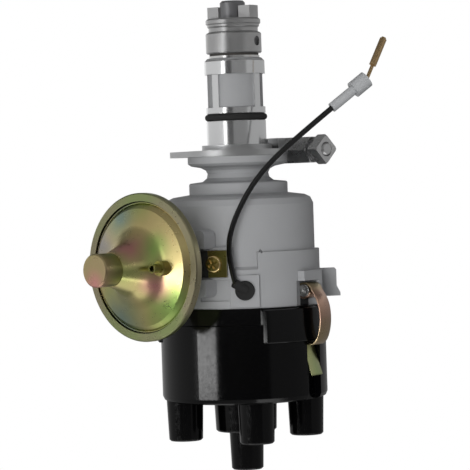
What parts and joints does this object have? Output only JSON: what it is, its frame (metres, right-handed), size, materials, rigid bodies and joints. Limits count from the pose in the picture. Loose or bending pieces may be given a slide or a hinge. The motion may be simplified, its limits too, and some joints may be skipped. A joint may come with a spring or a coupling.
{
  "type": "ignition distributor",
  "caption": "Ignition distributor for a four cylinder engine: clamped shank with drive dog, contact breaker, flyweight and vacuum advance, clipped cap and low tension lead.",
  "frame": {"origin": "on the drive shaft's axis, at the face of the housing flange that the clamp plate seats against", "axes": "+Z along the shaft towards the cap; +X 8.5 degrees clockwise of the vacuum unit seen from above; the cap clips lie along Y"},
  "size_m": [0.1462, 0.1258, 0.236],
  "materials": {
    "cast_aluminium": "satin as-cast",
    "turned_aluminium": "fine turned",
    "steel": "bright turned",
    "dark_steel": "oiled, ground",
    "zinc_yellow": "yellow passivated zinc, iridescent",
    "black_steel": "black",
    "cap_moulding": "gloss black thermoset",
    "rotor_moulding": "gloss brown thermoset",
    "rubber": "matt black",
    "bronze": "sintered bronze",
    "brass": "bright",
    "carbon": "moulded carbon",
    "fibre": "fibre washer and heel",
    "contact_metal": "polished",
    "lead_insulation": "gloss black insulation",
    "sleeve_plastic": "translucent grey white"
  },
  "bodies": {
    "body": {"housing": "cast_aluminium", "shank_bush": "bronze", "shank_o_ring": "rubber", "base_plate": "steel", "base_screws": "steel", "vacuum_rear_shell": "zinc_yellow", "vacuum_front_shell": "zinc_yellow", "vacuum_end_cap": "zinc_yellow", "vacuum_nipple": "zinc_yellow", "vacuum_bracket": "black_steel", "vacuum_tab": "zinc_yellow", "vacuum_screw": "brass", "diaphragm": "rubber", "vacuum_spring": "steel", "cap": "cap_moulding", "cap_electrodes": "brass", "coil_insert": "brass", "carbon_brush": "carbon", "brush_spring": "steel", "clip_pins": "steel", "lt_grommet": "rubber", "lt_lead": "lead_insulation", "lt_lead_inner": "lead_insulation", "terminal_sleeve": "sleeve_plastic", "bullet_terminal": "brass"},
    "shaft": {"drive_shaft": "dark_steel", "drive_dog": "steel", "dog_pin": "dark_steel", "thrust_washer_steel": "steel", "thrust_washer_fibre": "fibre", "distance_collar": "steel", "action_plate": "steel", "weight_springs": "steel", "cam_screw": "steel"},
    "cam_and_rotor": {"cam": "dark_steel", "rotor_arm": "rotor_moulding", "rotor_blade": "brass", "rotor_spring": "brass"},
    "weight_a": {"flyweight_a": "steel"},
    "weight_b": {"flyweight_b": "steel"},
    "points_plate": {"breaker_plate": "zinc_yellow", "contact_bracket": "steel", "fixed_contact": "contact_metal", "contact_screw": "brass", "terminal_post": "brass", "capacitor": "steel", "capacitor_strap": "steel"},
    "points_arm": {"breaker_arm": "steel", "breaker_heel": "fibre", "moving_contact": "contact_metal", "arm_spring": "steel"},
    "vacuum_rod": {"vacuum_link": "steel", "diaphragm_plate": "steel"},
    "clip_front": {"cap_clip_front": "zinc_yellow"},
    "clip_rear": {"cap_clip_rear": "zinc_yellow"},
    "clamp": {"clamp_plate": "turned_aluminium", "pinch_sleeve": "steel", "spring_washer": "steel", "pinch_nut": "steel", "pinch_bolt": "steel"}
  },
  "joints": [
    {"name": "shaft_spin", "type": "hinge", "parent": "body", "child": "shaft", "pos_m": [0, 0, 0], "axis": [0, 0, 1], "continuous": true},
    {"name": "weight_a_swing", "type": "hinge", "parent": "shaft", "child": "weight_a", "pos_m": [0.024, 0, 0.032], "axis": [0, 0, -1], "range_deg": [0, 12]},
    {"name": "weight_b_swing", "type": "hinge", "parent": "shaft", "child": "weight_b", "pos_m": [-0.024, 0, 0.032], "axis": [0, 0, -1], "range_deg": [0, 12]},
    {"name": "cam_advance", "type": "hinge", "parent": "shaft", "child": "cam_and_rotor", "pos_m": [0, 0, 0.04], "axis": [0, 0, 1], "range_deg": [0, 12], "deforming": ["weight_springs"]},
    {"name": "vacuum_advance", "type": "hinge", "parent": "body", "child": "points_plate", "pos_m": [0, 0, 0.045], "axis": [0, 0, -1], "range_deg": [0, 10], "deforming": ["lt_lead_inner"]},
    {"name": "vacuum_pull", "type": "slide", "parent": "body", "child": "vacuum_rod", "axis": [0.989, 0.1478, 0], "range_m": [0, 0.0039], "deforming": ["diaphragm", "vacuum_spring"]},
    {"name": "points_swing", "type": "hinge", "parent": "points_plate", "child": "points_arm", "pos_m": [0.016, -0.017, 0.05], "axis": [0, 0, -1], "range_deg": [0, 0.85], "deforming": ["arm_spring"]},
    {"name": "clip_front_swing", "type": "hinge", "parent": "body", "child": "clip_front", "pos_m": [0, -0.0395, 0.0677], "axis": [1, 0, 0], "range_deg": [0, 75]},
    {"name": "clip_rear_swing", "type": "hinge", "parent": "body", "child": "clip_rear", "pos_m": [0, 0.0395, 0.0677], "axis": [-1, 0, 0], "range_deg": [0, 75]},
    {"name": "clamp_turn", "type": "hinge", "parent": "body", "child": "clamp", "pos_m": [0, 0, 0], "axis": [0, 0, 1], "range_deg": [-15, 15]}
  ],
  "couplings": [
    {"joint": "weight_b_swing", "follows": "weight_a_swing", "ratio": 1},
    {"joint": "cam_advance", "follows": "weight_a_swing", "ratio": 1},
    {"joint": "vacuum_pull", "follows": "vacuum_advance", "m_per_rad": 0.022}
  ]
}
